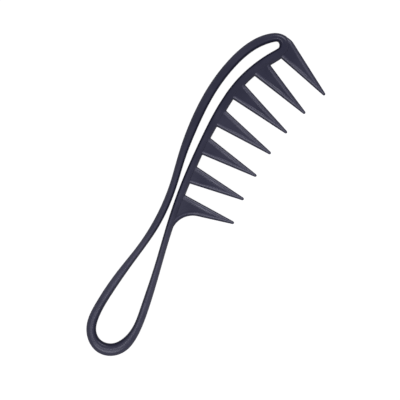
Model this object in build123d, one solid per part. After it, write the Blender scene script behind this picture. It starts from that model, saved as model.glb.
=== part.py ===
from build123d import *

import os
from math import cos, dist, pi, radians, sin, tan

# A wide tooth comb for combing out wet or curly hair, about 220 mm long.
#
# The comb is one injection moulding with no moving parts.  Its bar runs round in one
# closed loop: the long eye of the handle, a narrow waist, and the slot behind the teeth.
# Seven pointed teeth stand on the lower edge of the slotted head.  The model keeps the
# loop and each tooth as solids of their own, which meet face to face at the moulded
# root line of each tooth, with no gap and no overlap.
#
# Frame, in millimetres: the comb lies flat on z = 0.  +X runs from the handle to the
# head, +Z is up and the teeth point to -Y.  The origin is under the middle of the
# comb's box.  The two faces of the comb are mirror images about the parting plane.

# Bar of the loop
BAR_THICKNESS = 7.0
PARTING_Z = BAR_THICKNESS / 2
LAND_CUT = 0.06          # crown removed on each face, which leaves the flat land it rests on
BAR_SQUARENESS = 2.35    # 2 is an ellipse, more is boxier
BAR_DRAFT = tan(radians(3))
CROWN_STEPS = 10         # steps over one crown of the bar
TYPICAL_HALF_WIDTH = 2.7
STATIONS = 96            # sections round the loop
TOOL_SIZE = 260.0        # longer than the comb, for the tools that trim it

# Teeth.  Every tooth is a pointed wedge, cut off by the bar at its own length.  Places
# along a tooth are measured from the apex, the point where its two sides would meet.
TIP_RADIUS = 0.9
TIP_THICKNESS = 2.2
TIP_PLACE = 5.7
ROOT_THICKNESS = 4.8
ROOT_PLACE = 40.0
ROOT_CORNER = 1.1        # corner radius between a tooth and the bar
ROOT_SINK = 0.25         # how far inside the bar's edge those corners are drawn
ROOT_REACH = 4.0         # how far a tooth is drawn into the bar before it is trimmed
HOLLOW_REACH = 14.0      # the same for the tool that hollows it
TRIM_MARGIN = 6.0        # bar kept round a tooth when it is trimmed
CORNER_LEAD = 2.4        # length along the bar that a corner needs
CORNER_DIVE = 1.0        # how much deeper in the bar that length ends
EDGE_ROUND = 0.75        # rounding along the rim of a tooth
RIM_WIDTH = 1.6          # rim round the hollow of a tooth, seen from above
WEB_THICKNESS = 1.8      # thinnest place of the hollowed web
WEB_PLACE = 21.0         # where along the tooth the web is thinnest
HOLLOW_RADIUS = 190.0    # hollow-ground curve of the web
HOLLOW_SLOPE = tan(radians(40))
HOLLOW_DEPTH = 2.0       # more than the hollow needs, so that it always breaks the rim

# The first tooth sweeps into the handle, and the last one carries on the nose.
HANDLE_SWEEP = 13.2
HANDLE_END = (-30.0, 4.45)
NOSE_SHOULDER = (110.1, 2.7)
NOSE_SWEEP = 9.0
NOSE_LEAD = (0.2, 6.2)
NOSE_INWARD = -20        # degrees, direction in which the last tooth is drawn into the nose

# Edges of the loop seen from above, anticlockwise, the outer one from the middle teeth
# and the inner one from the end of the handle.
OUTER_EDGE = [
    (57.0, 14.6), (75.0, 12.3), (88.0, 7.4), (96.0, 3.1), (102.2, 1.2), (107.0, 1.9),
    (109.8, 4.8), (110.45, 9.3), (107.0, 16.0), (96.0, 24.1), (80.0, 29.2), (57.5, 31.35),
    (35.0, 29.55), (16.0, 25.7), (0.0, 21.4), (-28.0, 17.95), (-45.0, 18.75), (-60.0, 20.8),
    (-86.0, 22.35), (-100.0, 20.1), (-107.3, 14.2), (-110.3, 6.0), (-108.0, -2.0),
    (-100.8, -8.0), (-90.0, -9.5), (-75.0, -7.4), (-50.0, -1.2), (-25.0, 5.3), (0.0, 10.0),
    (20.0, 12.85), (38.5, 14.35),
]
INNER_EDGE = [
    (-103.05, 6.2), (-100.0, 0.1), (-94.0, -3.1), (-87.0, -4.1), (-75.0, -2.3),
    (-50.0, 3.2), (-25.0, 9.7), (0.0, 15.1), (30.0, 19.0), (57.5, 20.45), (75.0, 18.45),
    (90.0, 13.45), (100.0, 8.25), (103.2, 7.2), (105.0, 8.9), (103.2, 12.0), (92.0, 19.6),
    (75.0, 24.3), (57.5, 25.65), (35.0, 23.9), (16.0, 20.75), (0.0, 16.8), (-27.0, 13.4),
    (-50.0, 15.0), (-77.0, 16.8), (-92.0, 16.25), (-100.0, 13.3),
]

# Teeth from the handle end: end of the tip, lean of the axis, and angle between the
# axis and each side, in degrees.  A tooth with a positive lean points back towards the
# handle.
TEETH = [
    ((-1.7, -24.15), -10.3, 8.0),
    ((13.5, -21.85), -5.3, 8.0),
    ((29.4, -21.2), -0.35, 7.8),
    ((45.35, -21.6), 4.35, 7.5),
    ((61.0, -23.5), 9.5, 7.3),
    ((76.6, -26.85), 14.5, 7.6),
    ((92.2, -31.35), 18.45, 8.2),
]


def crown_profile(half_width):
    """Points over one face of the bar, as offset across it and height above parting."""
    half_height = BAR_THICKNESS / 2 + LAND_CUT
    points = [(half_width, 0)]
    for step in range(1, CROWN_STEPS):
        angle = pi * step / CROWN_STEPS
        reach = abs(cos(angle)) ** (2 / BAR_SQUARENESS)
        rise = half_height * sin(angle) ** (2 / BAR_SQUARENESS)
        offset = (half_width - BAR_DRAFT * rise) * reach
        points.append((offset if step <= CROWN_STEPS / 2 else -offset, rise))
    return points + [(-half_width, 0)]


def crown_parameters():
    """Shares of the typical crown's length at its points, the same for every section."""
    points = crown_profile(TYPICAL_HALF_WIDTH)
    lengths = [0]
    for start, end in zip(points, points[1:]):
        lengths.append(lengths[-1] + dist(start, end))
    return [length / lengths[-1] for length in lengths]


def bar_section(outer_point, inner_point):
    """Closed section of the bar between a point of its outer edge and its inner edge."""
    middle = (outer_point + inner_point) / 2
    width = outer_point - inner_point
    across = width.normalized()
    crowns = []
    for side in (1, -1):
        points = []
        for offset, rise in crown_profile(width.length / 2):
            points.append(middle + across * offset + Vector(0, 0, PARTING_Z + side * rise))
        crowns.append(Edge.make_spline(points, parameters=crown_parameters()))
    return Face(Wire(crowns))


def make_frame_loop(outer_edge, inner_edge):
    """The bar lofted round the loop, and the prism inside its middle line."""
    sections = []
    middle_line = []
    for station in range(STATIONS):
        outer_point = outer_edge.position_at(station / STATIONS)
        inner_point = inner_edge.closest_points(outer_point)[0]
        sections.append(bar_section(outer_point, inner_point))
        middle_line.append((outer_point + inner_point) / 2)
    bar = loft(sections + sections[:1])
    slab = Pos(0, 0, PARTING_Z) * Box(TOOL_SIZE, TOOL_SIZE, BAR_THICKNESS)
    core = extrude(Face(Wire(Spline(*middle_line, periodic=True))), BAR_THICKNESS)
    return bar & slab, core


def direction(angle):
    """Unit vector at an angle in degrees from +Y towards +X."""
    return Vector(sin(radians(angle)), cos(radians(angle)))


def bar_corner(apex, angle, outer_edge):
    """Where a side of a tooth meets the edge of the bar, and the bar's direction there."""
    side = Line(apex, apex + direction(angle) * 60)
    hits = outer_edge.find_intersection_points(side)
    corner = min(hits, key=lambda hit: (hit - apex).length)
    along = outer_edge.tangent_at(outer_edge.param_at_point(corner))
    return corner + direction(angle) * ROOT_SINK, along


def tooth_apex(number):
    """Where the two sides of a tooth would meet, past the end of its rounded tip."""
    tip_end, lean, half_angle = TEETH[number]
    return Vector(*tip_end) - direction(lean) * (TIP_RADIUS / sin(radians(half_angle)) - TIP_RADIUS)


def tooth_outline(number, outer_edge, reach):
    """Corners of a tooth seen from above, drawn on past the bar's edge, and their radii."""
    tip_end, lean, half_angle = TEETH[number]
    apex = tooth_apex(number)
    handle_corner, along = bar_corner(apex, lean - half_angle, outer_edge)
    inward = along.rotate(Axis.Z, 90)
    if number == 0:
        handle_radius = HANDLE_SWEEP
        handle_end = Vector(*HANDLE_END)
    else:
        handle_radius = ROOT_CORNER
        handle_end = handle_corner - along * CORNER_LEAD + inward * CORNER_DIVE
    handle_inner = handle_end + inward * reach
    if number == len(TEETH) - 1:
        head_radius = NOSE_SWEEP
        head_corner = Vector(*NOSE_SHOULDER)
        head_end = head_corner + Vector(*NOSE_LEAD)
        head_inner = head_end + direction(NOSE_INWARD) * reach
    else:
        head_radius = ROOT_CORNER
        head_corner, along = bar_corner(apex, lean + half_angle, outer_edge)
        inward = along.rotate(Axis.Z, 90)
        head_end = head_corner + along * CORNER_LEAD + inward * CORNER_DIVE
        head_inner = head_end + inward * reach
    points = [handle_inner, handle_end, handle_corner, apex, head_corner, head_end, head_inner]
    return points, [0, 0, handle_radius, TIP_RADIUS, head_radius, 0, 0]


def inset(points, radii, amount):
    """A smaller outline, whose sides lie a given amount inside those of an outline."""
    moved = []
    moved_radii = []
    for index, point in enumerate(points):
        before = (point - points[index - 1]).normalized()
        after = (points[(index + 1) % len(points)] - point).normalized()
        normals = before.rotate(Axis.Z, 90), after.rotate(Axis.Z, 90)
        miter = (normals[0] + normals[1]) / (1 + normals[0].dot(normals[1]))
        moved.append(point + miter * amount)
        turn = before.cross(after).Z
        radius = radii[index]
        swept = radius > 2 * ROOT_CORNER
        moved_radii.append(radius - amount * (1 if turn > 0 else -1) if swept else 0)
    return moved, moved_radii


def outline_face(points, radii, height):
    """Face of a rounded outline at a height."""
    return Pos(0, 0, height) * Face(Wire(FilletPolyline(*points, radius=radii, close=True).edges()))


def tooth_plane(number):
    """Plane of a tooth's side view: X from the apex into the bar, Y up."""
    axis = direction(TEETH[number][1])
    origin = tooth_apex(number) + Vector(0, 0, PARTING_Z)
    return Plane(origin=origin, x_dir=axis, z_dir=axis.cross(Vector(0, 0, 1)))


def tooth_blank(number, points, radii):
    """A tooth before hollowing: its outline, tapered towards the tip, with a rounded rim."""
    slope = (ROOT_THICKNESS - TIP_THICKNESS) / (ROOT_PLACE - TIP_PLACE) / 2

    def half_thickness(place):
        return TIP_THICKNESS / 2 + slope * (place - TIP_PLACE)

    far = 1.5 * ROOT_PLACE
    side_view = [
        (0, half_thickness(0)), (far, half_thickness(far)),
        (far, -half_thickness(far)), (0, -half_thickness(0)),
    ]
    wedge_face = tooth_plane(number) * Face(Wire(Polyline(*side_view, close=True).edges()))
    wedge = extrude(wedge_face, ROOT_PLACE, both=True)
    blank = extrude(outline_face(points, radii, 0), BAR_THICKNESS) & wedge
    faces = blank.faces().sort_by(Axis.Z)
    return fillet(faces[0].edges() + faces[-1].edges(), EDGE_ROUND)


def tooth_hollow(number, outer_edge):
    """Tool for the hollow in the upper face of a tooth."""
    points, radii = tooth_outline(number, outer_edge, HOLLOW_REACH)
    low_points, low_radii = inset(points, radii, RIM_WIDTH + HOLLOW_DEPTH / HOLLOW_SLOPE / 2)
    high_points, high_radii = inset(points, radii, RIM_WIDTH - HOLLOW_DEPTH / HOLLOW_SLOPE / 2)
    web_z = PARTING_Z + WEB_THICKNESS / 2
    pit = loft(
        [
            outline_face(low_points, low_radii, web_z),
            outline_face(high_points, high_radii, web_z + HOLLOW_DEPTH),
        ],
        ruled=True,
    )
    grinder = tooth_plane(number) * Pos(WEB_PLACE, WEB_THICKNESS / 2 + HOLLOW_RADIUS)
    return pit & grinder * Cylinder(HOLLOW_RADIUS, 2 * ROOT_PLACE)


def make_tooth(number, outer_edge, core, frame_loop):
    """A finished tooth, cut off where it meets the bar."""
    points, radii = tooth_outline(number, outer_edge, ROOT_REACH)
    blank = tooth_blank(number, points, radii)
    hollow = tooth_hollow(number, outer_edge)
    parting_plane = Plane.XY.offset(PARTING_Z)
    solid = blank - hollow - mirror(hollow, about=parting_plane) - core
    extent = solid.bounding_box()
    nearby = Pos(extent.center()) * Box(*(extent.size + Vector(1, 1, 1) * TRIM_MARGIN))
    solid = solid - (frame_loop & nearby)
    return max(solid.solids(), key=lambda piece: piece.volume)


def main():
    outer_edge = Spline(*OUTER_EDGE, periodic=True)
    inner_edge = Spline(*INNER_EDGE, periodic=True)
    frame_loop, core = make_frame_loop(outer_edge, inner_edge)
    nodes = {"frame_loop": frame_loop}
    for number in range(len(TEETH)):
        nodes[f"tooth_{number + 1}"] = make_tooth(number, outer_edge, core, frame_loop)
    os.makedirs("parts", exist_ok=True)
    for name, solid in nodes.items():
        solid.label = name
        export_step(solid, f"parts/{name}.step")


main()
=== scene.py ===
"""Looks of the wide tooth comb: one satin charcoal plastic, lying on a white light table.

The bar is one smooth section that runs round the loop.  Each tooth is built on the outline of
its CAD node, with the soft raised rim and the hollow web of a moulded tooth.
"""

from math import radians

import bmesh
import bpy
import numpy as np
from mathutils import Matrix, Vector
from mathutils.geometry import delaunay_2d_cdt


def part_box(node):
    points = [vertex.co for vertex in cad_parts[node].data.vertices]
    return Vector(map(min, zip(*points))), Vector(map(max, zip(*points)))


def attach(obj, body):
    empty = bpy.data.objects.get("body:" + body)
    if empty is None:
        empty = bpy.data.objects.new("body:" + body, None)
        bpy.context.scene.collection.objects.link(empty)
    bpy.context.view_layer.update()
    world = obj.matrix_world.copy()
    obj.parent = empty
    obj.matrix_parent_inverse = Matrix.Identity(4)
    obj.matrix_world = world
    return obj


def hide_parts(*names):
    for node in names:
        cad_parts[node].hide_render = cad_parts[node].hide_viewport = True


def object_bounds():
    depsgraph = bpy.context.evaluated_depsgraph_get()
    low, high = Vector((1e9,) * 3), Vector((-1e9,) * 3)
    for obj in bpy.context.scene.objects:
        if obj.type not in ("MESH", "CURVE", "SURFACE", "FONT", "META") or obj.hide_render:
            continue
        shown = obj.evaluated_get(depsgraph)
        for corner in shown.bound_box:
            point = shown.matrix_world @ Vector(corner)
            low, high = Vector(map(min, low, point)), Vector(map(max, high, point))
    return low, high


MM = 0.001

# Camera, straight above the comb, which lies at an angle in the picture
LENS = 120.0
SENSOR = 36.0
PICTURE_WIDTH = 240 * MM
COMB_SLANT = 59.0  # degrees from the picture's bottom edge to the comb's length
CAMERA_NEAR_CLIP = 0.01
CAMERA_OFF_MIDDLE = Vector((-0.42 * MM, 0.55 * MM, 0))  # from over the comb's middle

# Cutting the CAD meshes at the parting plane, in metres
CAD_SAME_POINT = 1e-7
CAD_ON_PLANE = 1e-6
NOT_ZERO = 1e-18  # keeps the length of a step off zero

# Bar of the comb, whose one section runs round the loop
BAR_SQUARENESS = 2.3  # 2 is an ellipse, more is boxier
BAR_LEAN = 0.05  # how much the sides lean in, for each unit of height
BAR_STEP = 0.7 * MM  # between sections
BAR_SIDES = 56  # points round a section
BAR_SMOOTHING = 4  # rounds that even out its outer outline
FACING_SMOOTHING = 12  # rounds that even out the inner points which the outer ones face
SECTION_SAMPLES = 4001  # fine points that measure a section's length
BAR_CREST_SHIFT = 0.1  # share of its width that its crest lies off the middle, into the loop
TYPICAL_HALF_WIDTH = 2.8 * MM
HANDLE_LIGHT = 0.65  # painted light: how much lighter the handle is coloured at its lightest
HANDLE_LIGHT_PLACE = -58 * MM  # where that is along the comb
HANDLE_LIGHT_SPREAD = 34 * MM  # how far that painted light spreads from there
OUTER_SIDE_LIGHT = 0.2  # painted light: how much lighter the outer side of the bar is coloured
INNER_SHADE_DEPTH = 0.85  # painted shade: how much darker the inner side of the bar is coloured
INNER_SHADE_START = 0.45  # share of the half width from which the inner side has painted shade and less shine
INNER_SHADE_FADE = 0.45  # share over which that builds up

# Moulded form of a tooth, seen from above and measured from its free edge
WALL_LEAN = 0.07 * MM  # how far the side wall leans in between the parting line and its top
EDGE_WIDTH = 1.75 * MM  # from the free edge to the crest of the rim
EDGE_DROP = 1.25 * MM  # height of the crest above the top of the side wall
BEVEL_SHARE = 0.55  # share of that drop that is an even slope, the rest rounds the edge
CREST_ROUND = 0.2  # how rounded the crest is, as a share of the edge's width
CREST_HIGHLIGHT = 0.32 * MM  # half width of the painted highlight, a lighter line along the crest
WEB_START = 1.65 * MM  # where the rim starts to fall towards the web
WEB_INSET = 2.75 * MM  # where the web is reached
WEB_SHORTEST = 0.033 * MM  # the shortest fall towards it, where a tooth is narrow
WEB_DEPTH = 0.32 * MM  # how far the web lies under the crest where it is deepest
WEB_ROOM = 3.2 * MM  # half width of the tooth from which the web has that depth
WEB_FADE = 13 * MM  # length near the bar over which the web rises towards the rim
WEB_ROOT_DEPTH = 0.5  # share of the web's depth that is left at the bar
TIP_HALF_THICKNESS = 1.1 * MM
TIP_ROUND = 0.88 * MM  # width of the rounded edge at the tip
TIP_DROP = 0.85 * MM
ROOT_OVERLAP = 1.9 * MM  # how far a tooth runs on inside the bar
TAIL_LENGTH = 2.6 * MM  # over which the sides of a tooth sink into the bar
NOSE_TAIL_LENGTH = 9 * MM  # the same for the sweeps at the two ends of the row of teeth
TAIL_DEPTH = 1.2 * MM
TAIL_POWER = 1.5  # how gently a side starts to sink
ON_BAR = 0.08 * MM  # an outline this close to the bar's has reached the bar
TIP_REACH = 16 * MM  # end of a tooth that gives the direction of its axis
AXIS_STOPS = 60  # places along the axis where the width of a tooth is measured
OUTLINE_STEP = 0.2 * MM
OUTLINE_SMOOTHING = 3
RING_DEPTHS = [  # millimetres in from the free edge, of the rings of mesh points
    0.07, 0.1, 0.16, 0.25, 0.37, 0.5, 0.66, 0.84, 1.02,
    1.2, 1.38, 1.54, 1.68, 1.84, 2.0, 2.2, 2.45, 2.75,
]
RING_CLEARANCE = 0.01 * MM
GRID_STEP = 0.42 * MM  # between mesh points further in
ROW_SPACING = 0.87  # of rows of them, as a share of that step
SAME_POINT = 2e-7  # metres between points that are merged
EDGE_POINT = 1e-6  # metres of half thickness under which the free edge needs no side wall
MESH_PRECISION = 1e-4  # of the triangulation, in millimetres

# Light.  A softbox has an angle from straight up, a direction in the picture, both in
# degrees, its two sides in metres and its power in watts.
LIGHT_TINT = (0.86, 0.86, 1.0)
WORLD_LIGHT = 0.5
SOFTBOX_DISTANCE = 1.0
SOFTBOXES = {
    "softbox_handle": (41, 252, (0.7, 0.28), 2.9),
    "softbox_head": (56, 62, (0.6, 0.36), 2.7),
    "softbox_left": (28, 190, (0.35, 0.35), 0.6),
    "strip_light": (14, 258, (0.3, 0.1), 0.6),
}
FLOOR_SIZE = 6.0
FLOOR_COLOUR = (0.12, 0.12, 0.12, 1)
FLOOR_ROUGHNESS = 0.9
FLOOR_GLOW = 0.2  # as it lights the comb
FLOOR_GLOW_SEEN = 0.96  # as the camera sees it

# Plastic
PLASTIC_DARK = (0.0148, 0.0150, 0.034, 1)
PLASTIC_LIGHT = (0.052, 0.051, 0.077, 1)
PLASTIC_IOR = 1.5
MOTTLE_SCALE = 70
MOTTLE_TINT = 0.3  # share of the light colour that this adds, as do the grain and the painted light and shade
GRAIN_SCALE = 2600
GRAIN_TINT = 0.04
GRAIN_HEIGHT = 0.006 * MM
GRAIN_STRENGTH = 0.1
# size of the patches that break up the painted light and shade
PAINTED_LIGHT_PATCH_SCALE = 160
# how far the painted light and shade move the colour towards the light or the dark plastic
PAINTED_LIGHT_TINT = 1.0
INNER_SHADE_SHINE = 0.12  # specular level on the inner side of the bar, lowered there as painted shade
FULL_SHINE = 0.5  # specular level elsewhere
SMOOTHEST = 0.26  # roughness, which changes with the mottle up to the next value
ROUGHEST = 0.32
SCRATCH_ROUGHNESS = 0.05  # more roughness in a scratch
SCRATCHES = [  # scale, thinness, direction in degrees and threshold of each set of scratches
    (60, 45, 24, 0.66),
    (50, 60, -52, 0.68),
]
SCRATCH_EDGE = 0.06

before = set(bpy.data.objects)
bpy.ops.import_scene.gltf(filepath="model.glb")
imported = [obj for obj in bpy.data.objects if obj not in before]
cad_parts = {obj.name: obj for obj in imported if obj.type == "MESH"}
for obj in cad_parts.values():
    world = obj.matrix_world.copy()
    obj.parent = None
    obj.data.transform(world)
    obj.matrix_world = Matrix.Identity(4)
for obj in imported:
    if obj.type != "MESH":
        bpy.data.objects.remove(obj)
cad_low, cad_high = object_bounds()
PARTING_Z = (cad_low.z + cad_high.z) / 2


def in_order(loop):
    """The same closed loop, anticlockwise from its lowest point."""
    area = (loop[:, 0] * np.roll(loop[:, 1], -1) - np.roll(loop[:, 0], -1) * loop[:, 1]).sum()
    loop = loop[:: int(np.sign(area))]
    return np.roll(loop, -np.lexsort(loop.T)[0], axis=0)


def parting_outlines(node):
    """Outlines of a CAD node at the parting plane, longest first, as loops of points (x, y)."""
    mesh = bmesh.new()
    mesh.from_mesh(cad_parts[node].data)
    bmesh.ops.remove_doubles(mesh, verts=mesh.verts, dist=CAD_SAME_POINT)
    cut = bmesh.ops.bisect_plane(
        mesh,
        geom=mesh.verts[:] + mesh.edges[:] + mesh.faces[:],
        plane_co=(0, 0, PARTING_Z),
        plane_no=(0, 0, 1),
        dist=CAD_ON_PLANE,
    )["geom_cut"]
    edges = {item for item in cut if isinstance(item, bmesh.types.BMEdge)}
    loops = []
    while edges:
        edge = edges.pop()
        loop = [edge.verts[0], edge.verts[1]]
        while True:
            onward = [e for e in loop[-1].link_edges if e in edges]
            if not onward:
                break
            edges.remove(onward[0])
            loop.append(onward[0].other_vert(loop[-1]))
        loops.append(in_order(np.array([v.co[:2] for v in loop[:-1]])))
    mesh.free()
    return sorted(loops, key=lambda loop: -np.ptp(loop, axis=0).sum())


def distance_to_line(points, line):
    """Distance of each point from an open line of points."""
    start, step = line[:-1], np.diff(line, axis=0)
    square = (step**2).sum(1) + NOT_ZERO
    nearest = np.full(len(points), np.inf)
    for a, ab, squared_length in zip(start, step, square):
        share = np.clip((points - a) @ ab / squared_length, 0, 1)
        offset = points - a - share[:, None] * ab
        nearest = np.minimum(nearest, (offset**2).sum(1))
    return np.sqrt(nearest)


def resample(line, step):
    """The same line with evenly spaced points."""
    along = np.concatenate([[0], np.cumsum(np.hypot(*np.diff(line, axis=0).T))])
    places = np.linspace(0, along[-1], max(3, int(along[-1] / step) + 1))
    return np.column_stack([np.interp(places, along, line[:, k]) for k in (0, 1)])


def resample_loop(loop, step):
    """The same closed loop with evenly spaced points."""
    return resample(np.vstack([loop, loop[:1]]), step)[:-1]


def smooth(line, rounds):
    """The same line with its facets evened out and its ends kept."""
    line = line.copy()
    for _ in range(rounds):
        line[1:-1] += 0.5 * ((line[:-2] + line[2:]) / 2 - line[1:-1])
    return line


def even_out(loop, rounds):
    """The same closed loop with its facets evened out."""
    for _ in range(rounds):
        loop = (np.roll(loop, 1, axis=0) + 2 * loop + np.roll(loop, -1, axis=0)) / 4
    return loop


def inward_normals(loop):
    """Unit normals of a closed loop that point into it, one for each of its points."""
    ahead, behind = np.roll(loop, -1, axis=0), np.roll(loop, 1, axis=0)
    tangent = ahead - behind
    tangent /= np.hypot(*tangent.T)[:, None]
    area = (loop[:, 0] * ahead[:, 1] - ahead[:, 0] * loop[:, 1]).sum()
    return np.column_stack([-tangent[:, 1], tangent[:, 0]]) * np.sign(area)


def into_bar(point, reach):
    """The point moved by reach from the outline of the bar towards its middle."""
    nearest = np.hypot(*(bar_outline - point).T).argmin()
    return point + bar_normals[nearest] * reach


def tail(end, before, length):
    """Points that carry a free edge on from its end, along the bar and gently into it."""
    nearest = np.hypot(*(bar_outline - end).T).argmin()
    ahead = bar_outline[(nearest + 1) % len(bar_outline)] - bar_outline[nearest]
    way = 1 if ahead @ (end - before) > 0 else -1
    count = int(length / OUTLINE_STEP)
    places = (nearest + way * np.arange(count + 1)) % len(bar_outline)
    start_depth = (end - bar_outline[nearest]) @ bar_normals[nearest]
    depth = start_depth + (TAIL_DEPTH - start_depth) * (np.arange(count + 1) / count) ** TAIL_POWER
    return (bar_outline[places] + bar_normals[places] * depth[:, None])[1:]


def tooth_outline(node):
    """A tooth seen from above: its free edge, drawn on into the bar, and its end in the bar."""
    loop = parting_outlines(node)[0]
    on_bar = distance_to_line(loop, closed_bar) < ON_BAR
    first = next(k for k in range(len(loop)) if on_bar[k - 1] and not on_bar[k])
    loop, on_bar = np.roll(loop, 1 - first, axis=0), np.roll(on_bar, 1 - first)
    last = 1 + int(np.argmax(on_bar[1:]))
    edge = smooth(resample(loop[: last + 1], OUTLINE_STEP), OUTLINE_SMOOTHING)
    root = resample(np.vstack([loop[last:], loop[:1]]), 2 * OUTLINE_STEP)
    tails = []
    for end, before in ((edge[0], edge[3]), (edge[-1], edge[-4])):
        swept = node == first_tooth and end[0] < root[:, 0].mean()
        swept = swept or node == last_tooth and end[0] > root[:, 0].mean()
        tails.append(tail(end, before, NOSE_TAIL_LENGTH if swept else TAIL_LENGTH))
    free = np.vstack([tails[0][::-1], edge, tails[1]])
    inner = np.array([into_bar(point, ROOT_OVERLAP) for point in root[1:-1]])
    return free, inner


def inside(points, loop):
    """Which points lie inside a closed loop."""
    hit = np.zeros(len(points), bool)
    for a, b in zip(loop, np.roll(loop, -1, axis=0)):
        crosses = (a[1] > points[:, 1]) != (b[1] > points[:, 1])
        with np.errstate(divide="ignore", invalid="ignore"):
            x = a[0] + (points[:, 1] - a[1]) * (b[0] - a[0]) / (b[1] - a[1])
        hit ^= crosses & (points[:, 0] < x)
    return hit


def ramp(share):
    """Smooth step from 0 to 1."""
    share = np.clip(share, 0, 1)
    return share * share * (3 - 2 * share)


def half_thickness(points, free, node):
    """Height of a tooth's surface at points seen from above, and how near they are to its crest,
    which sets a painted highlight along it.
    """
    depth = distance_to_line(points, free)
    tip = free[distance_to_line(free, closed_bar).argmax()]
    near_tip = free[np.hypot(*(free - tip).T) < TIP_REACH]
    axis = near_tip.mean(0) - tip
    axis /= np.hypot(*axis)
    place = (points - tip) @ axis
    low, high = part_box(node)
    length = ((free - tip) @ axis).max()
    root_half = (high.z - low.z) / 2
    rim = TIP_HALF_THICKNESS + (root_half - TIP_HALF_THICKNESS) * np.clip(place / length, 0, 1)
    stops = np.linspace(0, length, AXIS_STOPS)
    room = np.interp(place, stops, distance_to_line(tip + stops[:, None] * axis, free))
    width = np.clip(room, TIP_ROUND, EDGE_WIDTH)
    drop = TIP_DROP + (EDGE_DROP - TIP_DROP) * (width - TIP_ROUND) / (EDGE_WIDTH - TIP_ROUND)
    out = 1 - np.clip((depth - WALL_LEAN) / (width - WALL_LEAN), 0, 1)
    bevel = (np.hypot(out, CREST_ROUND) - CREST_ROUND) / (np.hypot(1, CREST_ROUND) - CREST_ROUND)
    round_edge = 1 - np.sqrt(1 - out**4)
    crown = rim - drop * (BEVEL_SHARE * bevel + (1 - BEVEL_SHARE) * round_edge)
    crown = np.where(depth < WALL_LEAN, (rim - drop) * depth / WALL_LEAN, crown)
    limit = np.clip(room, WEB_START + WEB_SHORTEST, WEB_INSET)
    sunk = ramp((depth - WEB_START) / (limit - WEB_START))
    deepest = WEB_DEPTH * np.clip((room - WEB_START) / (WEB_ROOM - WEB_START), 0, 1)
    clear = distance_to_line(points, closed_bar)
    fade = WEB_ROOT_DEPTH + (1 - WEB_ROOT_DEPTH) * ramp(clear / WEB_FADE)
    # painted highlight: a lighter line along the crest of the rim
    crest_highlight = np.exp(-(((depth - width) / CREST_HIGHLIGHT) ** 2))
    return crown - deepest * fade * sunk, crest_highlight


def finish_piece(mesh, node):
    """The piece that stands for a CAD node, made from a bmesh with its painted light and shade."""
    bmesh.ops.recalc_face_normals(mesh, faces=mesh.faces)
    for face in mesh.faces:
        face.smooth = True
    data = bpy.data.meshes.new(node + "_moulded")
    mesh.to_mesh(data)
    mesh.free()
    piece = bpy.data.objects.new(node + "_moulded", data)
    bpy.context.scene.collection.objects.link(piece)
    piece.data.materials.append(plastic)
    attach(piece, "root")
    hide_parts(node)
    return piece


def section_angles():
    """Angles of a bar section's points that spread them evenly round a typical section."""
    fine = np.linspace(0, 2 * np.pi, SECTION_SAMPLES)
    offset, height = bar_section(fine, TYPICAL_HALF_WIDTH)
    along = np.concatenate([[0], np.cumsum(np.hypot(np.diff(offset), np.diff(height)))])
    return np.interp(np.arange(BAR_SIDES) / BAR_SIDES * along[-1], along, fine)


def bar_section(angles, half_width):
    """Offset from the bar's middle and height over the parting plane round a section."""
    power = 2 / BAR_SQUARENESS
    height = (cad_high.z - PARTING_Z) * np.sign(np.sin(angles)) * np.abs(np.sin(angles)) ** power
    shift = 2 * BAR_CREST_SHIFT * half_width
    reach = half_width + shift * np.sign(np.cos(angles)) - BAR_LEAN * np.abs(height)
    offset = reach * np.sign(np.cos(angles)) * np.abs(np.cos(angles)) ** power
    return offset - shift, height


def make_bar():
    """The smooth bar round the whole loop, between the two outlines of its CAD node."""
    outlines = parting_outlines("frame_loop")[:2]
    outer, inner = [resample_loop(loop, OUTLINE_STEP) for loop in outlines]
    outer = even_out(resample_loop(outer, BAR_STEP), BAR_SMOOTHING)
    facing = np.array([inner[np.hypot(*(inner - point).T).argmin()] for point in outer])
    facing = even_out(facing, FACING_SMOOTHING)
    middle, half = (outer + facing) / 2, np.hypot(*(outer - facing).T) / 2
    across = (outer - facing) / (2 * half[:, None])
    angles = section_angles()
    mesh = bmesh.new()
    # layer of painted light and shade, read by the material
    painted_light = mesh.verts.layers.float.new("painted_light")
    rings = []
    for centre, way, half_width in zip(middle, across, half):
        offset, height = bar_section(angles, half_width)
        flat = centre + offset[:, None] * way
        ring = [mesh.verts.new((x, y, PARTING_Z + z)) for (x, y), z in zip(flat, height)]
        # painted light that colours the handle lighter, most at one place along it
        handle_light = HANDLE_LIGHT * np.exp(-(((centre[0] - HANDLE_LIGHT_PLACE) / HANDLE_LIGHT_SPREAD) ** 2))
        outward = offset / half_width
        # painted shade that colours the bar's inner side darker
        inner_shade = INNER_SHADE_DEPTH * ramp((-outward - INNER_SHADE_START) / INNER_SHADE_FADE)
        # painted light on the outer side added to the handle's, less the painted shade
        shares = handle_light + OUTER_SIDE_LIGHT * ramp(outward) - inner_shade
        for vertex, share in zip(ring, shares):
            vertex[painted_light] = share
        rings.append(ring)
    for ring, onward in zip(rings, rings[1:] + rings[:1]):
        for k in range(BAR_SIDES):
            mesh.faces.new((ring[k - 1], ring[k], onward[k], onward[k - 1]))
    return finish_piece(mesh, "frame_loop")


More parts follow.
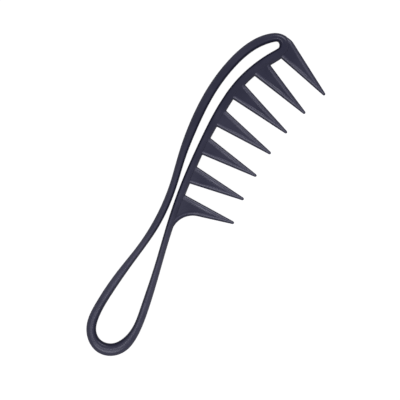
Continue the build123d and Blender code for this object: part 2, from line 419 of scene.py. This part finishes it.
def make_tooth(node):
    """The finished tooth that stands for a CAD tooth."""
    free, inner = tooth_outline(node)
    border = np.vstack([free, inner])
    normals = inward_normals(border)[: len(free)]
    points = [border]
    for ring in RING_DEPTHS:
        moved = free + normals * ring * MM
        points.append(moved[distance_to_line(moved, free) > ring * MM - RING_CLEARANCE])
    low, high = border.min(0), border.max(0)
    rows = np.arange(low[1], high[1], GRID_STEP * ROW_SPACING)
    columns = np.arange(low[0], high[0], GRID_STEP)
    grid = np.array(
        [(x + GRID_STEP / 2 * (k % 2), y) for k, y in enumerate(rows) for x in columns]
    )
    grid = grid[inside(grid, border)]
    deep = distance_to_line(grid, free) > RING_DEPTHS[-1] * MM + GRID_STEP / 2
    off_end = distance_to_line(grid, border[len(free) - 1 :]) > GRID_STEP / 2
    points.append(grid[deep & off_end])
    points = np.vstack(points)
    within = inside(points[len(border) :], border)
    points = points[np.concatenate([np.ones(len(border), bool), within])]
    flat, _, triangles, _, _, _ = delaunay_2d_cdt(
        [Vector(p) for p in points / MM], [], [list(range(len(border)))], 1, MESH_PRECISION
    )
    flat = np.array([v[:] for v in flat]) * MM
    height, crest_highlight = half_thickness(flat, free, node)
    mesh = bmesh.new()
    # layer for the crest's painted highlight, read by the material
    painted_light = mesh.verts.layers.float.new("painted_light")
    top = [mesh.verts.new((x, y, PARTING_Z + h)) for (x, y), h in zip(flat, height)]
    bottom = [mesh.verts.new((x, y, PARTING_Z - h)) for (x, y), h in zip(flat, height)]
    # the crest's painted highlight, the same on both faces
    for vertex, share in zip(top + bottom, np.tile(crest_highlight, 2)):
        vertex[painted_light] = share
    uses = {}
    for a, b, c in triangles:
        mesh.faces.new((top[a], top[b], top[c]))
        mesh.faces.new((bottom[c], bottom[b], bottom[a]))
        for edge in ((a, b), (b, c), (c, a)):
            uses[frozenset(edge)] = None if frozenset(edge) in uses else edge
    for edge in filter(None, uses.values()):
        a, b = edge
        if max(height[a], height[b]) > EDGE_POINT:
            mesh.faces.new((top[b], top[a], bottom[a], bottom[b]))
    bmesh.ops.remove_doubles(mesh, verts=mesh.verts, dist=SAME_POINT)
    return finish_piece(mesh, node)


def new_material(name):
    """An empty node material with its output and a shader, its node maker and its links."""
    material = bpy.data.materials.new(name)
    material.use_nodes = True
    tree = material.node_tree
    tree.nodes.clear()
    output = tree.nodes.new("ShaderNodeOutputMaterial")
    shader = tree.nodes.new("ShaderNodeBsdfPrincipled")
    tree.links.new(shader.outputs["BSDF"], output.inputs["Surface"])
    return material, tree.nodes.new, tree.links.new, shader


def make_plastic():
    """Satin charcoal plastic: moulded grain, hairline scratches, painted light on high places, the
    handle and the bar's outer side, and painted shade on its inner side.
    """
    material, add, link, shader = new_material("comb_plastic")
    shader.inputs["IOR"].default_value = PLASTIC_IOR
    place = add("ShaderNodeTexCoord").outputs["Object"]

    def noise(scale, detail, stretch=(1, 1, 1), turn=0):
        mapping = add("ShaderNodeMapping")
        mapping.inputs["Scale"].default_value = stretch
        mapping.inputs["Rotation"].default_value = (0, 0, radians(turn))
        link(place, mapping.inputs["Vector"])
        texture = add("ShaderNodeTexNoise")
        texture.inputs["Scale"].default_value = scale
        texture.inputs["Detail"].default_value = detail
        link(mapping.outputs["Vector"], texture.inputs["Vector"])
        return texture.outputs["Fac"]

    def spread(value, start, end, low, high):
        change = add("ShaderNodeMapRange")
        change.interpolation_type = "SMOOTHSTEP"
        change.inputs["From Min"].default_value = start
        change.inputs["From Max"].default_value = end
        change.inputs["To Min"].default_value = low
        change.inputs["To Max"].default_value = high
        link(value, change.inputs["Value"])
        return change.outputs["Result"]

    def combine(kind, first, second):
        sum_node = add("ShaderNodeMath")
        sum_node.operation = kind
        link(first, sum_node.inputs[0])
        link(second, sum_node.inputs[1])
        return sum_node.outputs["Value"]

    # painted light and shade from the mesh: lighter on crests, the handle and the bar's outer side,
    # darker on its inner side
    painted_light_share = add("ShaderNodeAttribute")
    painted_light_share.attribute_name = "painted_light"
    # less shine where the painted shade lies
    shine = spread(painted_light_share.outputs["Fac"], -1, 0, INNER_SHADE_SHINE, FULL_SHINE)
    link(shine, shader.inputs["Specular IOR Level"])
    patches = spread(noise(PAINTED_LIGHT_PATCH_SCALE, 3), 0.3, 0.6, 0.6, 1)
    painted_light_share = combine("MULTIPLY", painted_light_share.outputs["Fac"], patches)
    mottle = noise(MOTTLE_SCALE, 4)
    grain = noise(GRAIN_SCALE, 3)
    scratches = combine(
        "MAXIMUM",
        *[
            spread(noise(scale, 2, (1, thin, thin), turn), start, start + SCRATCH_EDGE, 0, 1)
            for scale, thin, turn, start in SCRATCHES
        ],
    )
    tint = add("ShaderNodeMix")
    tint.data_type = "RGBA"
    tint.inputs["A"].default_value = PLASTIC_DARK
    tint.inputs["B"].default_value = PLASTIC_LIGHT
    shade = spread(mottle, 0.3, 0.7, 0, MOTTLE_TINT)
    shade = combine("ADD", shade, spread(grain, 0.35, 0.65, 0, GRAIN_TINT))
    # the painted light and shade moves the colour
    shade = combine("ADD", shade, spread(painted_light_share, -1, 1, -PAINTED_LIGHT_TINT, PAINTED_LIGHT_TINT))
    link(shade, tint.inputs["Factor"])
    link(tint.outputs["Result"], shader.inputs["Base Color"])
    rough = spread(mottle, 0.3, 0.7, SMOOTHEST, ROUGHEST)
    rough = combine("ADD", rough, spread(scratches, 0, 1, 0, SCRATCH_ROUGHNESS))
    link(rough, shader.inputs["Roughness"])
    bump = add("ShaderNodeBump")
    bump.inputs["Strength"].default_value = GRAIN_STRENGTH
    bump.inputs["Distance"].default_value = GRAIN_HEIGHT
    link(combine("SUBTRACT", grain, scratches), bump.inputs["Height"])
    link(bump.outputs["Normal"], shader.inputs["Normal"])
    return material


def make_floor():
    """White light table.  It looks white from the camera, and lights the comb more dimly."""
    material, add, link, shader = new_material("light_table")
    shader.inputs["Base Color"].default_value = FLOOR_COLOUR
    shader.inputs["Roughness"].default_value = FLOOR_ROUGHNESS
    shader.inputs["Emission Color"].default_value = (1, 1, 1, 1)
    glow = add("ShaderNodeMapRange")
    glow.inputs["To Min"].default_value = FLOOR_GLOW
    glow.inputs["To Max"].default_value = FLOOR_GLOW_SEEN
    link(add("ShaderNodeLightPath").outputs["Is Camera Ray"], glow.inputs["Value"])
    link(glow.outputs["Result"], shader.inputs["Emission Strength"])
    bpy.ops.mesh.primitive_plane_add(size=FLOOR_SIZE, location=(0, 0, 0))
    floor = bpy.context.object
    floor.name = "floor"
    floor.data.materials.append(material)


def make_softbox(name, zenith, azimuth, size, power):
    """A softbox that faces the comb."""
    turn, tilt = radians(azimuth - COMB_SLANT), radians(zenith)
    way = Vector((np.cos(turn) * np.sin(tilt), np.sin(turn) * np.sin(tilt), np.cos(tilt)))
    data = bpy.data.lights.new(name, "AREA")
    data.shape = "RECTANGLE"
    data.size, data.size_y = size
    data.energy = power
    data.color = LIGHT_TINT
    light = bpy.data.objects.new(name, data)
    light.location = way * SOFTBOX_DISTANCE
    light.rotation_mode = "QUATERNION"
    light.rotation_quaternion = (-way).to_track_quat("-Z", "Y")
    bpy.context.scene.collection.objects.link(light)


def make_world():
    """Even light from all round."""
    world = bpy.data.worlds.new("studio")
    world.use_nodes = True
    background = world.node_tree.nodes["Background"]
    background.inputs["Color"].default_value = (*LIGHT_TINT, 1)
    background.inputs["Strength"].default_value = WORLD_LIGHT
    bpy.context.scene.world = world


def make_camera():
    """The camera straight above the comb."""
    data = bpy.data.cameras.new("camera")
    data.lens = LENS
    data.sensor_width = SENSOR
    data.clip_start = CAMERA_NEAR_CLIP
    camera = bpy.data.objects.new("camera", data)
    above = Vector((0, 0, PICTURE_WIDTH * LENS / SENSOR))
    camera.location = (cad_low + cad_high) / 2 + CAMERA_OFF_MIDDLE + above
    camera.rotation_euler = (0, 0, radians(-COMB_SLANT))
    bpy.context.scene.collection.objects.link(camera)
    bpy.context.scene.camera = camera


plastic = make_plastic()
bar_outline = resample_loop(parting_outlines("frame_loop")[0], OUTLINE_STEP)
bar_outline = even_out(bar_outline, BAR_SMOOTHING)
bar_normals = inward_normals(bar_outline)
closed_bar = np.vstack([bar_outline, bar_outline[:1]])
teeth = sorted(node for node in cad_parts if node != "frame_loop")
first_tooth, last_tooth = teeth[0], teeth[-1]
make_bar()
for node in teeth:
    make_tooth(node)

make_floor()
make_world()
for name, settings in SOFTBOXES.items():
    make_softbox(name, *settings)
make_camera()
bpy.context.scene.view_settings.view_transform = "Standard"
